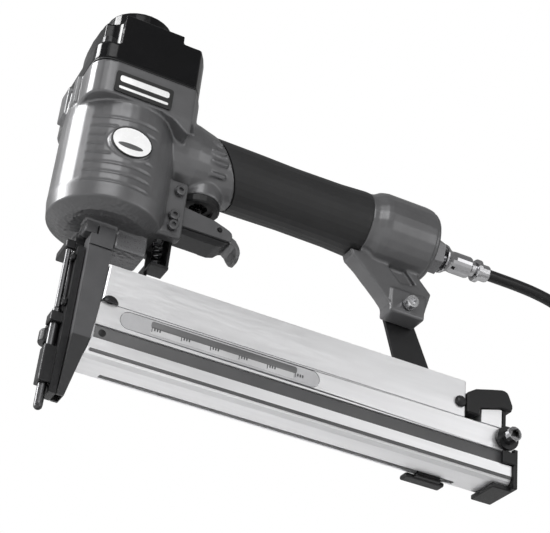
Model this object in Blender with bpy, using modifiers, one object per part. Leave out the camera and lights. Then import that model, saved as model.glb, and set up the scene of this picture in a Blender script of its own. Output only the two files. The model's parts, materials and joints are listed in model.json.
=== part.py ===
"""Pneumatic nailer and stapler, upright, with its nose tip at the origin.

+Z is up and the tool drives along -Z, the nose is at the front (-X), the handle and the
air inlet point to +X, and the left side of the tool faces -Y.
Lengths below are in millimetres; the shape helpers turn them into metres.
"""
import math

import bmesh
import bpy
from mathutils import Matrix, Vector

MM = 0.001
GAP = 0.3                     # clearance between neighbouring pieces

# Driving dimensions
BARREL_X = 14.0               # axis of the cylinder housing
BARREL_RADIUS = 28.6
BARREL_BOTTOM = 96.0
FLANGE_BOTTOM = 155.5
FLANGE_TOP = 175.0
CAP_BOTTOM = FLANGE_TOP + 1.2
CAP_TOP = 205.0
HEAD_FRONT = -12.5            # front end of the head, under the cap
HEAD_REAR = 39.6              # rear corners of the head
HEAD_HALF_WIDTH = 29.6
REAR_BOW = 50.0               # radius of the head's bowed rear end
BORE_RADIUS = 22.6
BORE_FLOOR = 101.0

HANDLE_Z = 152.4              # axis of the handle
INLET_Z = 150.4               # axis of the air inlet and the coupler
CORE_RADIUS = 15.6
GRIP_RADIUS = 17.1
GRIP_END = 147.7
BELL_END = 188.4
BELL_RADIUS = 21.0

DRIVER_X = 7.9                # centre of the driver blade
NOSE_END = 7.8
NOSE_TOP = 88.7
NOSE_FLANGE = (86.5, 93.7)    # block that seats under the housing
NOSE_HALF_WIDTH = 11.8
STROKE = 62.0

MAGAZINE_FRONT = 18.2
MAGAZINE_REAR = 237.5
MAGAZINE_BOTTOM = 27.0
MAGAZINE_SPLIT = 55.1
MAGAZINE_HALF_WIDTH = 11.4
RAIL_TOP = 75.5
RAIL_REAR = 210.0

TRIGGER_PIVOT = (43.0, 110.2)     # x and z
LEVER_PIVOT = (69.7, 115.9)
VALVE_X = 59.5
LATCH_PIVOT = (233.5, 50.0)
LATCH_PIN = (206.6, 63.0)

HOSE_RADIUS = 3.175
COIL_CENTRE = (347.0, -14.0)
COIL_INNER = 28.6             # clear of the coil's inner turn
COIL_OUTER = 41.6
COIL_LIFT = 1.4               # the tie passes under the turns

# The hose's free stretch, from the ferrule to the coil: x, y and z
HOSE_ROUTE = [
    (227.3, 0.0, 150.4), (237.0, 0.0, 150.4), (247.0, -0.1, 150.2), (258.0, -0.6, 149.1),
    (268.5, -2.0, 146.1), (277.5, -4.6, 140.1), (284.5, -8.4, 131.2), (289.5, -13.0, 120.0),
    (293.0, -18.0, 107.0), (295.8, -22.8, 93.5), (298.0, -26.8, 80.0), (300.2, -30.1, 66.5),
    (302.8, -33.2, 53.2), (306.0, -36.4, 40.5), (310.2, -39.8, 28.8), (315.6, -43.1, 18.6),
    (319.4, -44.9, 14.2),
]


# Scene and helpers -------------------------------------------------------------------------

for old in list(bpy.data.objects):
    bpy.data.objects.remove(old, do_unlink=True)

parts = bpy.data.collections.new("pneumatic_nailer")
tools = bpy.data.collections.new("cutters")
for group in (parts, tools):
    bpy.context.scene.collection.children.link(group)


def material(name, colour, roughness, metallic=0.0):
    """One plain Principled material."""
    made = bpy.data.materials.new(name)
    made.use_nodes = True
    shader = made.node_tree.nodes["Principled BSDF"]
    shader.inputs["Base Color"].default_value = (*colour, 1.0)
    shader.inputs["Roughness"].default_value = roughness
    shader.inputs["Metallic"].default_value = metallic
    return made


def add(name, data):
    """A new object among the parts."""
    obj = bpy.data.objects.new(name, data)
    parts.objects.link(obj)
    return obj


def solid(obj):
    """The object's evaluated shape as a welded mesh in world space, under the same name."""
    bpy.context.view_layer.update()
    evaluated = obj.evaluated_get(bpy.context.evaluated_depsgraph_get())
    mesh = bpy.data.meshes.new_from_object(evaluated)
    mesh.transform(obj.matrix_world)
    shape = bmesh.new()
    shape.from_mesh(mesh)
    bmesh.ops.remove_doubles(shape, verts=shape.verts, dist=1e-6)
    bmesh.ops.recalc_face_normals(shape, faces=shape.faces)
    shape.to_mesh(mesh)
    shape.free()
    name = obj.name
    bpy.data.objects.remove(obj, do_unlink=True)
    return add(name, mesh)


def box(name, x, y, z, bevel=0.0, segments=2):
    """A block between the given pairs of limits, with its edges rounded by bevel."""
    limits = (x, y, z)
    centre = Vector([(low + high) / 2 * MM for low, high in limits])
    size = [(high - low) * MM for low, high in limits]
    shape = bmesh.new()
    bmesh.ops.create_cube(shape, size=1.0)
    bmesh.ops.scale(shape, vec=size, verts=shape.verts)
    mesh = bpy.data.meshes.new(name)
    shape.to_mesh(mesh)
    shape.free()
    obj = add(name, mesh)
    obj.location = centre
    if bevel:
        modifier = obj.modifiers.new("edges", "BEVEL")
        modifier.width = bevel * MM
        modifier.segments = segments
    return obj


AXIS_TURN = {"Z": (0, 0, 0), "X": (0, math.pi / 2, 0), "Y": (-math.pi / 2, 0, 0)}


def rod(name, centre, axis, radius, low, high, sides=16):
    """A straight cylinder along axis from low to high; centre holds the other two coordinates."""
    shape = bmesh.new()
    bmesh.ops.create_cone(shape, cap_ends=True, segments=sides, radius1=radius * MM,
                          radius2=radius * MM, depth=(high - low) * MM)
    mesh = bpy.data.meshes.new(name)
    shape.to_mesh(mesh)
    shape.free()
    obj = add(name, mesh)
    obj.rotation_euler = AXIS_TURN[axis]
    place = list(centre)
    place.insert("XYZ".index(axis), (low + high) / 2)
    obj.location = Vector(place) * MM
    return obj


def turned(name, centre, axis, profile, steps=32, ring=False):
    """A profile of (radius, place along the axis) turned round the axis.

    It runs down the outer side from the top; a ring's profile closes on itself.
    """
    points = [(radius * MM, 0.0, along * MM) for radius, along in profile]
    edges = [(i, i + 1) for i in range(len(points) - 1)]
    if ring:
        edges.append((len(points) - 1, 0))
    mesh = bpy.data.meshes.new(name)
    mesh.from_pydata(points, edges, [])
    obj = add(name, mesh)
    screw = obj.modifiers.new("turn", "SCREW")
    screw.steps = steps
    screw.render_steps = steps
    screw.use_merge_vertices = True
    screw.merge_threshold = 1e-6
    obj.rotation_euler = AXIS_TURN[axis]
    place = list(centre)
    place.insert("XYZ".index(axis), 0.0)
    obj.location = Vector(place) * MM
    return obj


def prism(name, outline, axis, low, high):
    """A flat outline pushed along an axis; the outline holds the other two coordinates."""
    curve = bpy.data.curves.new(name, "CURVE")
    curve.dimensions = "2D"
    curve.fill_mode = "BOTH"
    curve.extrude = (high - low) / 2 * MM
    spline = curve.splines.new("POLY")
    spline.points.add(len(outline) - 1)
    for point, (u, v) in zip(spline.points, outline):
        point.co = (u * MM, v * MM, 0.0, 1.0)
    spline.use_cyclic_u = True
    obj = add(name, curve)
    middle = (low + high) / 2 * MM
    if axis == "Z":
        obj.location.z = middle
    elif axis == "Y":
        obj.location.y = middle
        obj.rotation_euler = (math.pi / 2, 0, 0)
    else:
        obj.location.x = middle
        obj.rotation_euler = (math.pi / 2, 0, math.pi / 2)
    return solid(obj)


def arc(centre, radius, start, end, count):
    """Points along an arc, angles in degrees."""
    turns = [math.radians(start + (end - start) * i / (count - 1)) for i in range(count)]
    return [(centre[0] + radius * math.cos(t), centre[1] + radius * math.sin(t)) for t in turns]


def rounded(low, high, radius, count=5):
    """A rectangle from the low corner to the high corner with round corners."""
    (x0, y0), (x1, y1) = low, high
    corners = [((x1 - radius, y0 + radius), -90), ((x1 - radius, y1 - radius), 0),
               ((x0 + radius, y1 - radius), 90), ((x0 + radius, y0 + radius), 180)]
    return [point for centre, start in corners
            for point in arc(centre, radius, start, start + 90, count)]


def head_outline(inset, front_radius):
    """The head seen from above: round front corners, sharp rear ones, a bowed rear end."""
    half = HEAD_HALF_WIDTH - inset
    front = HEAD_FRONT + inset
    rise = math.degrees(math.asin(half / REAR_BOW))
    bow_x = HEAD_REAR - inset / 2 - REAR_BOW * math.cos(math.radians(rise))
    return (arc((front + front_radius, half - front_radius), front_radius, 90, 180, 6)
            + arc((front + front_radius, front_radius - half), front_radius, 180, 270, 6)
            + arc((bow_x, 0), REAR_BOW, -rise, rise, 11))


def ellipse(centre, semi_x, semi_z, count=28):
    return [(centre[0] + semi_x * math.cos(2 * math.pi * i / count),
             centre[1] + semi_z * math.sin(2 * math.pi * i / count)) for i in range(count)]


def wire(name, points, radius, sides=2):
    """A round wire through the points, with filled ends."""
    curve = bpy.data.curves.new(name, "CURVE")
    curve.dimensions = "3D"
    curve.bevel_depth = radius * MM
    curve.bevel_resolution = sides
    curve.use_fill_caps = True
    spline = curve.splines.new("POLY")
    spline.points.add(len(points) - 1)
    for point, place in zip(spline.points, points):
        point.co = (*(Vector(place) * MM), 1.0)
    return add(name, curve)


def combine(obj, operation, *others):
    """Join or cut with the other objects, which become tools of this one."""
    for other in others:
        modifier = obj.modifiers.new(other.name, "BOOLEAN")
        modifier.operation = operation
        modifier.solver = "EXACT"
        modifier.object = other
        parts.objects.unlink(other)
        tools.objects.link(other)
        other.hide_render = True
        other.display_type = "WIRE"
    return obj


def join(obj, *others):
    return combine(obj, "UNION", *others)


def cut(obj, *others):
    return combine(obj, "DIFFERENCE", *others)


def give(obj, look):
    """Give a part its material and smooth its round sides."""
    obj.data.materials.clear()
    obj.data.materials.append(look)
    if obj.type == "MESH":
        obj.data.shade_smooth()
        obj.data.set_sharp_from_angle(angle=math.radians(35))
    return obj


def hang(pivot_name, pivot, *pieces):
    """Parent pieces to an empty that stands on their joint's axis."""
    empty = bpy.data.objects.new(pivot_name, None)
    empty.empty_display_size = 0.01
    empty.location = Vector(pivot) * MM
    parts.objects.link(empty)
    for piece in pieces:
        piece.parent = empty
        piece.matrix_parent_inverse = Matrix.Translation(-empty.location)
    return empty


def helix(centre, radius, low, high, turns, per_turn=12):
    count = int(turns * per_turn)
    points = []
    for i in range(count + 1):
        angle = 2 * math.pi * i / per_turn
        points.append((centre[0] + radius * math.cos(angle), centre[1] + radius * math.sin(angle),
                       low + (high - low) * i / count))
    return points


def smooth_route(points, count):
    """A Catmull-Rom curve through the points, read at count even steps of its parameter."""
    padded = [points[0]] + list(points) + [points[-1]]
    padded = [Vector(p) for p in padded]
    spans = len(points) - 1
    result = []
    for i in range(count):
        place = i / (count - 1) * spans
        k = min(int(place), spans - 1)
        t = place - k
        a, b, c, d = padded[k:k + 4]
        result.append(0.5 * (2 * b + (c - a) * t + (2 * a - 5 * b + 4 * c - d) * t ** 2
                             + (3 * b - a - 3 * c + d) * t ** 3))
    return result


# Materials ---------------------------------------------------------------------------------

CASTING = material("casting_grey", (0.14, 0.14, 0.145), 0.35, 0.6)
CAP_BLACK = material("cap_black", (0.008, 0.008, 0.009), 0.22)
PLASTIC = material("black_plastic", (0.015, 0.015, 0.016), 0.45)
RUBBER = material("grip_rubber", (0.025, 0.025, 0.027), 0.6)
ALUMINIUM = material("anodised_aluminium", (0.78, 0.78, 0.79), 0.3, 0.9)
DARK_STEEL = material("blackened_steel", (0.045, 0.045, 0.048), 0.4, 0.8)
BRIGHT_STEEL = material("bright_steel", (0.6, 0.6, 0.62), 0.22, 1.0)
SPRING_STEEL = material("spring_steel", (0.35, 0.35, 0.36), 0.3, 1.0)
TRIGGER_PAINT = material("trigger_grey", (0.1, 0.1, 0.105), 0.4, 0.3)
LABEL = material("label_black", (0.01, 0.01, 0.01), 0.4)
BADGE = material("badge_white", (0.8, 0.8, 0.8), 0.35)
SCALE = material("scale_grey", (0.35, 0.35, 0.36), 0.45)
HOSE_BLACK = material("hose_black", (0.012, 0.012, 0.013), 0.45)


# Cylinder housing, handle and rear bell: one casting -----------------------------------------

def slanted_cutter(name, offset, keep_front):
    """A block whose face is the slanted plane where the neck meets the grip."""
    lean = math.radians(28)
    block = box(name, (-80, 80), (-40, 40), (-60, 60))
    block.rotation_euler.y = -lean
    reach = 80 if keep_front else -80
    middle = Vector((66.1 + offset, 0.0, HANDLE_Z)) * MM
    block.location = middle + Vector((math.cos(lean), 0.0, math.sin(lean))) * reach * MM
    return block


def body_casting():
    body = turned("body_casting", (BARREL_X, 0), "Z", [
        (0, FLANGE_TOP - 4), (BARREL_RADIUS - 1, FLANGE_TOP - 4), (BARREL_RADIUS, 150),
        (BARREL_RADIUS, 106), (27.8, 102), (25.5, 98.6), (21.5, 96.6), (18.0, BARREL_BOTTOM),
        (0, BARREL_BOTTOM)], steps=40)
    flange = prism("flange", head_outline(0, 11), "Z", FLANGE_BOTTOM, FLANGE_TOP)
    lug = [(24, 163), (25, FLANGE_BOTTOM - 0.4), (30.5, 153.6), (37.6, 148.2), (40, 147.6),
           (40, 163)]
    neck = turned("neck", (0, HANDLE_Z), "X", [
        (0, 80), (17.2, 80), (17.4, 62), (18.6, 56), (20.2, 50), (20.6, 44), (20, 24), (0, 24)],
        steps=28)
    cut(neck, slanted_cutter("neck_seam", 0.0, True))
    core = turned("core", (0, HANDLE_Z), "X", [
        (0, BELL_END), (15.5, BELL_END), (19, BELL_END - 1.2), (20.6, BELL_END - 4),
        (BELL_RADIUS, BELL_END - 8), (BELL_RADIUS, 158), (20.4, 155), (18.2, 151.5),
        (17.6, GRIP_END + GAP), (CORE_RADIUS, GRIP_END + GAP), (CORE_RADIUS, 30), (0, 30)],
        steps=28)
    valve_boss = rod("valve_boss", (VALVE_X, 0), "Z", 11.2, 130.8, 142, sides=28)
    ears = box("ears", (24, 48.7), (-14, 14), (99, 131), bevel=1.2)
    cut(ears, box("ear_slot", (38, 60), (-8.2, 8.2), (95, 136)))
    web = box("web", (30, 44.6), (-5.4, 5.4), (104.6, 124))
    nose_block = box("nose_block", (4.0, 18.4), (-11, 11), (NOSE_FLANGE[1] + GAP, 104))
    mount_block = box("mount_block", (18.0, 34.2), (-9.4, 7.0), (86.2, 112), bevel=0.8)
    badge_pad = prism("badge_pad", ellipse((12.3, 131.5), 10.6, 8.6), "Y", -29.2, -22)
    arm = prism("arm", [(148.2, 140), (148.2, 134), (142.6, 134), (143.8, 130.7), (149.3, 126.7),
                        (162.6, 114.5), (166.6, 110), (187.4, 110), (190.6, 122.5),
                        (182.3, 130.5), (182.3, 140)], "Y", -5.2, 5.2)
    for side, y in (("near", (-8, -2.4)), ("far", (2.4, 8))):
        cut(arm, prism("arm_pocket_" + side, [(158.6, 137.2), (172.4, 123.4), (181.8, 124.6),
                                              (171.6, 135.4), (171, 138)], "Y", *y))
    strap_box = box("strap_box", (167, 187), (-6.2, 6.2), (105, 119), bevel=0.8)
    cut(body, box("barrel_slot", (38, 60), (-8.2, 8.2), (95, 131)))
    join(body, flange, prism("near_lug", lug, "Y", -29.4, -18), prism("far_lug", lug, "Y", 18, 29.4),
         neck, core, valve_boss, ears, web, nose_block, mount_block, badge_pad, arm, strap_box)
    bore = rod("bore", (BARREL_X, 0), "Z", BORE_RADIUS, BORE_FLOOR, 200, sides=36)
    blade_hole = box("blade_hole", (DRIVER_X - 2.2, DRIVER_X + 2.2), (-4.2, 4.2), (80, 110))
    chamber = rod("chamber", (0, HANDLE_Z), "X", 11.0, 24, 180, sides=21)
    inlet_hole = rod("inlet_hole", (0, INLET_Z), "X", 8.4, 170, 200, sides=23)
    valve_hole = rod("valve_hole", (VALVE_X, 0), "Z", 7.3, 120, 150, sides=22)
    valve_seat = rod("valve_seat", (VALVE_X, 0), "Z", 11.4, 118, 130.8, sides=26)
    bolt_hole = rod("strap_bolt_hole", (177, 111.2), "Y", 1.9, -12, 12)
    cut(body, bore, blade_hole, chamber, inlet_hole, valve_hole, valve_seat, bolt_hole,
        rod("pivot_hole", TRIGGER_PIVOT, "Y", 2.3, -20, 20))
    for name, place in EAR_BOLTS.items():
        cut(body, rod(name + "_hole", place, "Y", 1.7, -20, -9.5))
    for i, (x, y) in enumerate(CAP_CORNERS):
        cut(body, rod(f"cap_thread_{i}", (x, y), "Z", 2.0, 168, 190, sides=12))
    return give(body, CASTING)


EAR_BOLTS = {"ear_bolt_upper": (44.1, 124.7), "ear_bolt_lower": (43.1, 104.5)}
CAP_CORNERS = [(BARREL_X + sx * 20.2, sy * 23.2) for sx in (-1, 1) for sy in (-1, 1)]
casting = body_casting()


# Cap, gasket, deflector and head valve -------------------------------------------------------

REAR_STEP = 200.2             # top of the cap behind the deflector


def cap_ledge(x):
    """The height of the screw ledge: low at the front corners, high at the rear ones."""
    return 186.0 if x < BARREL_X else 195.4


def notch_radius(x):
    """Open notches at the front corners, narrow bores at the rear ones."""
    return 7.4 if x < BARREL_X else 4.2


def notch_offset(x):
    return 2.2 if x < BARREL_X else 0.0


def cylinder_cap():
    cap = prism("cylinder_cap", head_outline(0.6, 9), "Z", CAP_BOTTOM, CAP_TOP)
    bevel = cap.modifiers.new("edges", "BEVEL")
    bevel.width = 1.6 * MM
    bevel.segments = 2
    bevel.limit_method = "ANGLE"
    dome = turned("dome", (BARREL_X, 0), "Z", [(0, 207.2), (16, 207.2), (22, 206.0),
                                               (24, CAP_TOP - 2), (0, CAP_TOP - 2)], steps=32)
    join(cap, dome)
    cut(cap, prism("rear_step", [(29.6, -34), (60, -34), (60, 34), (29.9, 34)], "Z", REAR_STEP,
                   230))
    for i, (x, y) in enumerate(CAP_CORNERS):
        outward = Vector((x - BARREL_X, y)).normalized() * notch_offset(x)
        cut(cap, rod(f"notch_{i}", (x + outward.x, y + outward.y), "Z", notch_radius(x),
                     cap_ledge(x), 215, sides=20),
            rod(f"cap_hole_{i}", (x, y), "Z", 2.4, 170, 200, sides=12))
    cut(cap, rod("cap_chamber", (BARREL_X, 0), "Z", BORE_RADIUS - 1, 170, 198.5, sides=28),
        rod("liner_room", (BARREL_X, 0), "Z", BORE_RADIUS, 168, 179.2, sides=36),
        rod("cap_thread", (BARREL_X, 0), "Z", 2.4, 190, 212, sides=14))
    cut(cap, prism("front_relief", [(-30, -34)] + arc((113.0, 0), 122, 196, 164, 13)
                   + [(-30, 34)], "Z", cap_ledge(0), 230))
    for angle in (45, 135, 225, 315):
        x = BARREL_X + 8.6 * math.cos(math.radians(angle))
        y = 8.6 * math.sin(math.radians(angle))
        cut(cap, rod(f"exhaust_hole_{angle}", (x, y), "Z", 2.6, 190, 212, sides=12))
    return give(cap, CAP_BLACK)


def cap_gasket():
    gasket = prism("cap_gasket", head_outline(0.6, 9), "Z", FLANGE_TOP + GAP, CAP_BOTTOM - GAP)
    cut(gasket, rod("gasket_bore", (BARREL_X, 0), "Z", BORE_RADIUS, 170, 190, sides=32))
    for i, (x, y) in enumerate(CAP_CORNERS):
        cut(gasket, rod(f"gasket_hole_{i}", (x, y), "Z", 2.4, 170, 190, sides=12))
    return give(gasket, RUBBER)


def socket_screw(name, centre, axis, head_radius, head, shank_radius, tip, socket):
    """A cap screw along an axis: head is (seat, top) and the socket's depth is in the head."""
    seat, top = head
    direction = 1 if top > seat else -1
    screw = rod(name, centre, axis, head_radius, min(head), max(head), sides=14)
    bevel = screw.modifiers.new("edges", "BEVEL")
    bevel.width = 0.4 * MM
    bevel.limit_method = "ANGLE"
    start = seat + direction * 0.5
    join(screw, rod(name + "_shank", centre, axis, shank_radius, min(start, tip),
                    max(start, tip), sides=8))
    floor = top - direction * socket
    over = top + direction
    cut(screw, rod(name + "_socket", centre, axis, head_radius * 0.5, min(floor, over),
                   max(floor, over), sides=6))
    return give(screw, DARK_STEEL)


cylinder_cap()
cap_gasket()
for i, (x, y) in enumerate(CAP_CORNERS):
    seat = cap_ledge(x) + GAP
    socket_screw(f"cap_screw_{i + 1}", (x, y), "Z", 3.7, (seat, seat + 4), 1.7, 169.5, 2.2)

deflector = turned("exhaust_deflector", (BARREL_X, 0), "Z", [
    (2.6, 221), (15, 221), (17.2, 219.6), (17.4, 211), (15.8, 207.5), (13, 207.5), (13, 217.6),
    (4.8, 217.6), (4.8, 207.5), (2.6, 207.5)], steps=28, ring=True)
cut(deflector, box("exhaust_port", (BARREL_X + 9, BARREL_X + 20), (-7, 7), (210.5, 216.5)))
give(deflector, CAP_BLACK)
deflector_screw = socket_screw("deflector_screw", (BARREL_X, 0), "Z", 4.6, (221.3, 223.4), 2.2,
                               199.5, 1.4)
hang("deflector_axis", (BARREL_X, 0, 207.5), deflector)

head_valve = turned("head_valve", (BARREL_X, 0), "Z", [
    (0, 186), (11, 186), (20.8, 184.6), (21.2, 181), (16, 180.2), (0, 180.2)], steps=32)
give(head_valve, PLASTIC)
hang("head_valve_axis", (BARREL_X, 0, 180.2), head_valve)
give(wire("head_valve_spring", helix((BARREL_X, 0), 8.5, 187.2, 197.3, 3), 0.8, 1), SPRING_STEEL)


# Cylinder, piston and driver -----------------------------------------------------------------

give(turned("cylinder_liner", (BARREL_X, 0), "Z", [
    (22.2, 178), (22.2, BORE_FLOOR + GAP), (20.2, BORE_FLOOR + GAP), (20.2, 178)], steps=40,
    ring=True), BRIGHT_STEEL)
bumper = turned("bumper", (BARREL_X, 0), "Z", [
    (0, 106), (17, 106), (19.8, 104.5), (19.8, BORE_FLOOR + GAP), (0, BORE_FLOOR + GAP)], steps=28)
cut(bumper, box("bumper_slot", (DRIVER_X - 2.2, DRIVER_X + 2.2), (-4.2, 4.2), (98, 110)))
give(bumper, RUBBER)
piston_low = 106.4 + STROKE
piston = turned("piston", (BARREL_X, 0), "Z", [
    (0, piston_low + 8), (19.9, piston_low + 8), (19.9, piston_low + 5), (18.8, piston_low + 4.6),
    (18.8, piston_low + 3), (19.9, piston_low + 2.6), (19.9, piston_low), (0, piston_low)])
give(piston, ALUMINIUM)
blade = box("driver_blade", (DRIVER_X - 0.7, DRIVER_X + 0.7), (-2.8, 2.8),
            (NOSE_END + STROKE + 1.0, piston_low - GAP))
give(blade, BRIGHT_STEEL)
hang("driver_axis", (BARREL_X, 0, piston_low), piston, blade)


# Nose ----------------------------------------------------------------------------------------

def nose_front_outline(half_width, end_half_width):
    """The nose seen from the front, straight above and narrowing to its end."""
    return [(-half_width, NOSE_TOP), (half_width, NOSE_TOP), (half_width, 35),
            (end_half_width, NOSE_END), (-end_half_width, NOSE_END), (-half_width, 35)]


def driver_guide():
    guide = prism("driver_guide", [(6, NOSE_TOP), (17.4, NOSE_TOP), (16.2, 57), (14.6, 36),
                                   (9.4, NOSE_END), (6, NOSE_END)], "Y", -14, 14)
    front = prism("guide_front", nose_front_outline(NOSE_HALF_WIDTH, 4.6), "X", 0, 30)
    combine(guide, "INTERSECT", front)
    flange_half_width = NOSE_HALF_WIDTH - GAP
    join(guide, box("guide_flange", (9.4, 17.6), (-flange_half_width, flange_half_width),
                    NOSE_FLANGE))
    cut(guide, box("blade_channel", (5, DRIVER_X + 1.1), (-3.2, 3.2), (0, 95)),
        box("feed_slot", (DRIVER_X, 25), (-3.0, 3.0), (30, 70)),
        box("near_groove", (5, 30), (-13, -11.0), (81.9, 82.9)))
    return give(guide, DARK_STEEL)


def front_plate():
    plate = prism("front_plate", [(y, min(z, NOSE_TOP - 6.3)) for y, z in
                                  nose_front_outline(7.2, 4.4)], "X", 2.4, 5.7)
    join(plate, box("upper_lug", (-3.2, 3), (-3.7, 3.7), (43, 48), bevel=0.5),
         box("lower_lug", (-3.2, 3), (-3.7, 3.7), (12.5, 30.8), bevel=0.5))
    cut(plate, rod("rod_bore", (0, 0), "Z", 2.4, 5, 60),
        rod("wheel_room", WHEEL_AXIS, "Z", 4.9, 35.9, 42.9, sides=20))
    join(plate, box("wheel_tab", (-1.4, 4.6), (3.1, 10.4), (43.4, 46.2), bevel=0.4),
         rod("wheel_pin", WHEEL_AXIS, "Z", 1.7, 34.6, 45, sides=17))
    for i, (y, z) in enumerate(FRONT_SCREWS):
        cut(plate, rod(f"front_thread_{i}", (y, z), "X", 1.4, -2, 8, sides=12))
    return give(plate, DARK_STEEL)


WHEEL_AXIS = (0.4, 8.0)
FRONT_SCREWS = [(-5.0, 77.0), (5.0, 77.0), (-5.0, 53.0), (5.0, 53.0)]
driver_guide()
front_plate()
for i, (y, z) in enumerate(FRONT_SCREWS):
    socket_screw(f"front_screw_{i + 1}", (y, z), "X", 2.0, (2.1, 0.2), 1.1, 5.5, 1.0)


# Safety: rod, yoke, spring and depth wheel ---------------------------------------------------

safety_rod = turned("safety_rod", (0, 0), "Z", [
    (0, 82.6), (1.5, 82.6), (1.5, 51.5), (2.1, 50.5), (2.1, 2.2), (1.9, 1.0), (1.2, 0.25),
    (0.6, 0), (0, 0)], steps=20)
give(safety_rod, BRIGHT_STEEL)
wheel = turned("depth_wheel", WHEEL_AXIS, "Z", [
    (4.2, 42.5), (4.5, 41.9), (4.5, 36.9), (4.2, 36.3), (2.0, 36.3), (2.0, 42.5)], steps=24,
    ring=True)
give(wheel, DARK_STEEL)


def safety_yoke():
    """Clamp on the rod, arm along the far side and bracket under the trigger, in one."""
    yoke = box("safety_yoke", (-2.4, 2.4), (-2.4, 13.6), (82.9, 87.2), bevel=0.6)
    join(yoke, box("yoke_arm", (-2, 39.8), (12.1, 13.4), (83.2, 87.8)),
         box("yoke_jog", (38.7, 40.2), (3.8, 13.1), (83.6, 91)),
         box("yoke_side", (38.5, 47.4), (3.5, 4.9), (86.6, 98.2)),
         box("yoke_floor", (38.6, 47.6), (-5, 5), (86.3, 87.8)),
         box("yoke_rear", (46.2, 47.5), (-4.8, 4.7), (86.9, 109.5)))
    return give(yoke, DARK_STEEL)


yoke = safety_yoke()
hang("safety_axis", (0, 0, 0), safety_rod, yoke)
hang("wheel_axis", (*WHEEL_AXIS, 36.3), wheel)
give(wire("safety_spring", helix((42.2, 0), 2.3, 88.6, 103.8, 5, 8), 0.45, 1), SPRING_STEEL)


# Trigger, lever and valve --------------------------------------------------------------------

def trigger():
    pivot_x, pivot_z = TRIGGER_PIVOT
    cheek = ([(46, 106.9), (50.6, 110.4)] + arc((73.2, 114.0), 3.6, -90, 70, 6)
             + [(66.4, 120.1), (50.7, 121.9), (46.5, 122.3)]
             + arc((pivot_x, pivot_z), 4.3, 130, 270, 6))
    obj = prism("trigger", cheek, "Y", -7.8, -6.2)
    pad = [(50.4, 111.4), (69, 111.2), (72.6, 112.6), (74.6, 114.4), (76.7, 114.8),
           (79.2, 113.6), (81.2, 110.9), (82.4, 107.6), (82.6, 103.9), (80.9, 103.7),
           (80.3, 106.9), (79.0, 109.6), (77.0, 111.2), (75.2, 110.6), (73.0, 108.2),
           (69.4, 107.0), (50.4, 107.4)]
    join(obj, prism("far_cheek", cheek, "Y", 6.2, 7.8), prism("pad", pad, "Y", -6.6, 6.6))
    for side, name in ((-1, "near_tip"), (1, "far_tip")):
        tip = [(side * 6.8 * math.cos(math.radians(a)), 110.3 - 6.9 * math.sin(math.radians(a)))
               for a in range(0, 91, 15)]
        cut(obj, prism(name, tip + [(0, 101), (side * 9, 101), (side * 9, 110.3)], "X", 78.2, 90))
    cut(obj, rod("trigger_bore", TRIGGER_PIVOT, "Y", 2.3, -12, 12),
        rod("lever_bore", LEVER_PIVOT, "Y", 1.4, -12, 12, sides=12))
    return give(obj, TRIGGER_PAINT)


def trigger_lever():
    """The lever between the cheeks, drooping at the front until the safety lifts it."""
    x, z = LEVER_PIVOT
    outline = arc((x, z), 2.4, -80, 100, 6) + [(58, 115.6), (49.6, 114.2),
                                                (49.6, 112.7), (60, 113.4)]
    lever = prism("trigger_lever", outline, "Y", -5.4, 5.4)
    cut(lever, rod("lever_hole", LEVER_PIVOT, "Y", 1.4, -10, 10, sides=12))
    return give(lever, BRIGHT_STEEL)


trigger_piece = trigger()
lever = trigger_lever()
lever_pin = give(rod("lever_pin", LEVER_PIVOT, "Y", 1.1, -8.1, 8.1, sides=14), DARK_STEEL)
socket_screw("trigger_pin", TRIGGER_PIVOT, "Y", 2.65, (-14.3, -16.8), 2.0, 14.0, 1.2)
for name, place in EAR_BOLTS.items():
    socket_screw(name, place, "Y", 2.65, (-14.3, -16.8), 1.4, -9.8, 1.2)
hang("trigger_axis", (TRIGGER_PIVOT[0], 0, TRIGGER_PIVOT[1]), trigger_piece, lever_pin)
hang("lever_axis", (LEVER_PIVOT[0], 0, LEVER_PIVOT[1]), lever)

valve_housing = turned("valve_housing", (VALVE_X, 0), "Z", [
    (7.0, 145), (7.0, 130.5), (10.8, 130.5), (10.8, 127.4), (10.2, 126.8), (7.6, 126.8),
    (7.0, 128.6), (4.6, 128.6), (4.6, 131.4), (2.5, 131.4), (2.5, 143), (4.6, 143), (4.6, 145)], steps=20, ring=True)
give(valve_housing, PLASTIC)
valve_stem = turned("valve_stem", (VALVE_X, 0), "Z", [
    (0, 142), (2.1, 142), (2.1, 121), (1.5, 119.4), (0, 119)], steps=16)
give(valve_stem, BRIGHT_STEEL)
hang("valve_axis", (VALVE_X, 0, 119), valve_stem)


# Label, badge, grip and air inlet -------------------------------------------------------------

give(prism("label_plate", rounded((-1.4, 156.9), (28.2, 168.9), 1.2, 3), "Y", -30.5, -29.9), LABEL)
give(prism("oval_badge", ellipse((12.3, 131.5), 9.6, 7.5), "Y", -30.1, -29.5), BADGE)

grip = turned("grip_sleeve", (0, HANDLE_Z), "X", [
    (17.8, GRIP_END), (17.9, GRIP_END - 2), (GRIP_RADIUS, 132), (GRIP_RADIUS - 0.3, 105),
    (GRIP_RADIUS + 0.1, 85), (17.5, 50), (CORE_RADIUS + GAP, 50), (CORE_RADIUS + GAP, GRIP_END)],
    steps=32, ring=True)
cut(grip, slanted_cutter("grip_seam", 0.35, False))
give(grip, RUBBER)

plug = prism("inlet_plug", [(9.8 * math.cos(math.radians(60 * i + 45)),
                             INLET_Z + 9.8 * math.sin(math.radians(60 * i + 45)))
                            for i in range(6)], "X", BELL_END + GAP, 196.0)
join(plug, rod("plug_thread", (0, INLET_Z), "X", 8.0, 178, BELL_END + 1, sides=28))
cut(plug, rod("plug_bore", (0, INLET_Z), "X", 3.3, 170, 200, sides=20))
give(plug, CASTING)

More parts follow.
